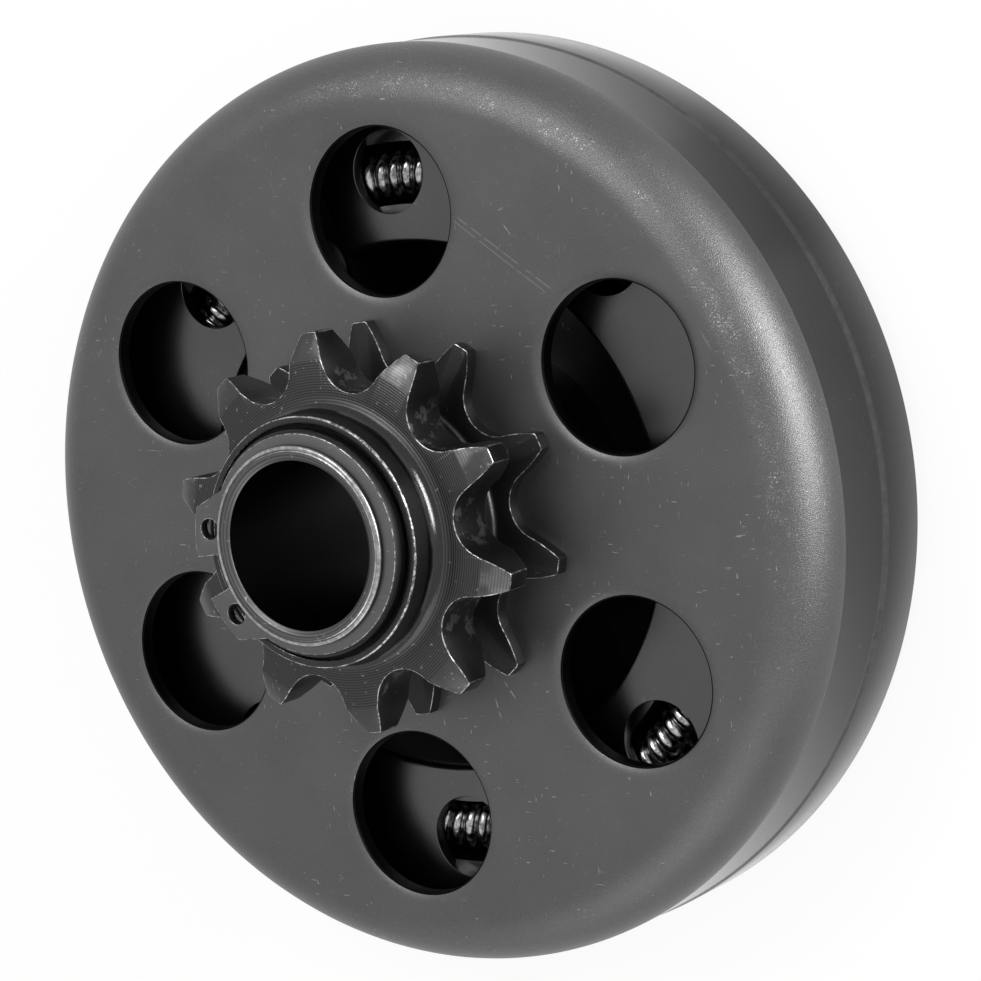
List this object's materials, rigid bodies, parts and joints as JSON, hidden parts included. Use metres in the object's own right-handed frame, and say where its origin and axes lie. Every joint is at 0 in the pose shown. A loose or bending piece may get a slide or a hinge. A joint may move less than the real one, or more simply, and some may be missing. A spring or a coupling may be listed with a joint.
{
  "type": "centrifugal clutch",
  "caption": "Small-engine centrifugal clutch with a windowed black-oxide drum, a chain sprocket hub held by a snap ring, and spring-held shoes inside",
  "frame": {"origin": "on the clutch's axis, at the hub's rear face, which is the lowest face", "axes": "+Z along the axis towards the sprocket end; +Y through the middle of one window and the hub's keyway; +X to the right of it seen from the sprocket end"},
  "size_m": [0.108, 0.108, 0.0457],
  "materials": {
    "drum_steel": "satin black oxide",
    "sprocket_steel": "satin black oxide, turned",
    "hub_steel": "satin black oxide",
    "ring_steel": "phosphated spring steel",
    "shoe_steel": "matt sintered steel",
    "spring_steel": "glossy drawn wire",
    "bronze": "plain"
  },
  "bodies": {
    "driver": {"driver_hub": "hub_steel", "backing_plate": "hub_steel", "front_washer": "hub_steel", "rear_washer": "hub_steel", "snap_ring": "ring_steel", "garter_spring": "spring_steel", "plate_rivet_1": "hub_steel", "plate_rivet_2": "hub_steel", "plate_rivet_3": "hub_steel", "plate_rivet_4": "hub_steel"},
    "drum_body": {"drum": "drum_steel", "sprocket_hub": "sprocket_steel", "bushing": "bronze"},
    "shoe_right_body": {"shoe_right": "shoe_steel"},
    "shoe_left_body": {"shoe_left": "shoe_steel"}
  },
  "joints": [
    {"name": "drum_spin", "type": "hinge", "parent": "driver", "child": "drum_body", "pos_m": [0, 0, 0.0357], "axis": [0, 0, 1], "continuous": true},
    {"name": "shoe_right_slide", "type": "slide", "parent": "driver", "child": "shoe_right_body", "axis": [0.8957, 0.4446, 0], "range_m": [0, 0.00065], "stiffness_N_per_m": 4000},
    {"name": "shoe_left_slide", "type": "slide", "parent": "driver", "child": "shoe_left_body", "axis": [-0.8957, -0.4446, 0], "range_m": [0, 0.00065], "stiffness_N_per_m": 4000}
  ]
}
